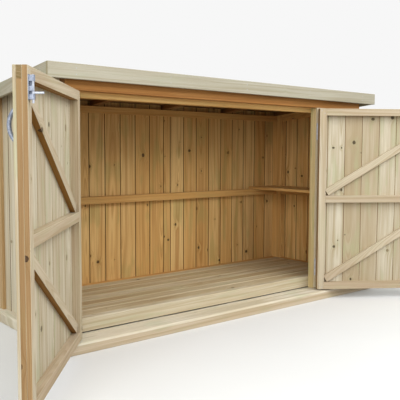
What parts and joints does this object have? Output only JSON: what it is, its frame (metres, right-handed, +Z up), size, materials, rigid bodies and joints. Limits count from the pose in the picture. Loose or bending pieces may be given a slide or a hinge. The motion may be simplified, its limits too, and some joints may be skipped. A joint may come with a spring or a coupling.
{
  "type": "bike shelter",
  "caption": "Low timber bike store with a pent roof, a platform base and a pair of braced doors standing open.",
  "frame": {"origin": "on the ground, at the centre of the base platform", "axes": "+X along the long side to the right as seen from the doorway, +Y to the back wall, +Z up"},
  "size_m": [3.0823, 1.6369, 1.3688],
  "materials": {
    "outer_cladding": "matt",
    "inner_timber": "matt",
    "base_timber": "matt",
    "header_timber": "satin",
    "edge_timber": "matt",
    "roof_felt": "matt",
    "zinc_steel": "satin"
  },
  "bodies": {
    "store": {"base_bearer_front": "base_timber", "base_bearer_back": "base_timber", "base_bearer_left": "base_timber", "base_bearer_right": "base_timber", "base_bearers_cross": "base_timber", "floor_boards": "inner_timber", "floor_joists": "inner_timber", "sill_rail_front": "inner_timber", "post_front_left": "inner_timber", "post_front_right": "inner_timber", "head_rail_front": "inner_timber", "fixed_panel_frame": "inner_timber", "back_panel_frame": "inner_timber", "left_panel_frame": "inner_timber", "right_panel_frame": "inner_timber", "rafters": "inner_timber", "shelf_board": "inner_timber", "fixed_panel_cladding": "outer_cladding", "back_panel_cladding": "outer_cladding", "left_panel_cladding": "outer_cladding", "right_panel_cladding": "outer_cladding", "roof_deck": "outer_cladding", "header_board": "header_timber", "jamb_left": "header_timber", "fascia_front": "edge_timber", "fascia_back": "edge_timber", "barge_left": "edge_timber", "barge_right": "edge_timber", "corner_trims": "edge_timber", "roof_felt": "roof_felt", "hinges_fixed": "zinc_steel"},
    "door_left": {"door_left_cladding": "outer_cladding", "door_left_frame": "inner_timber", "door_left_braces": "inner_timber", "door_left_hinges": "zinc_steel", "door_left_handle": "zinc_steel", "bolt_housing": "zinc_steel"},
    "door_right": {"door_right_cladding": "outer_cladding", "door_right_frame": "inner_timber", "door_right_braces": "inner_timber", "door_right_hinges": "zinc_steel"},
    "bolt": {"bolt_rod": "zinc_steel"}
  },
  "joints": [
    {"name": "door_left_hinge", "type": "hinge", "parent": "store", "child": "door_left", "pos_m": [-1.1125, -0.3873, 0.653], "axis": [0, 0, -1], "range_deg": [-129.2, 40.8]},
    {"name": "door_right_hinge", "type": "hinge", "parent": "store", "child": "door_right", "pos_m": [0.676, -0.3873, 0.653], "axis": [0, 0, 1], "range_deg": [-145.7, 24.3]},
    {"name": "bolt_slide", "type": "slide", "parent": "door_left", "child": "bolt", "axis": [0, 0, 1], "range_m": [0, 0.028]}
  ]
}
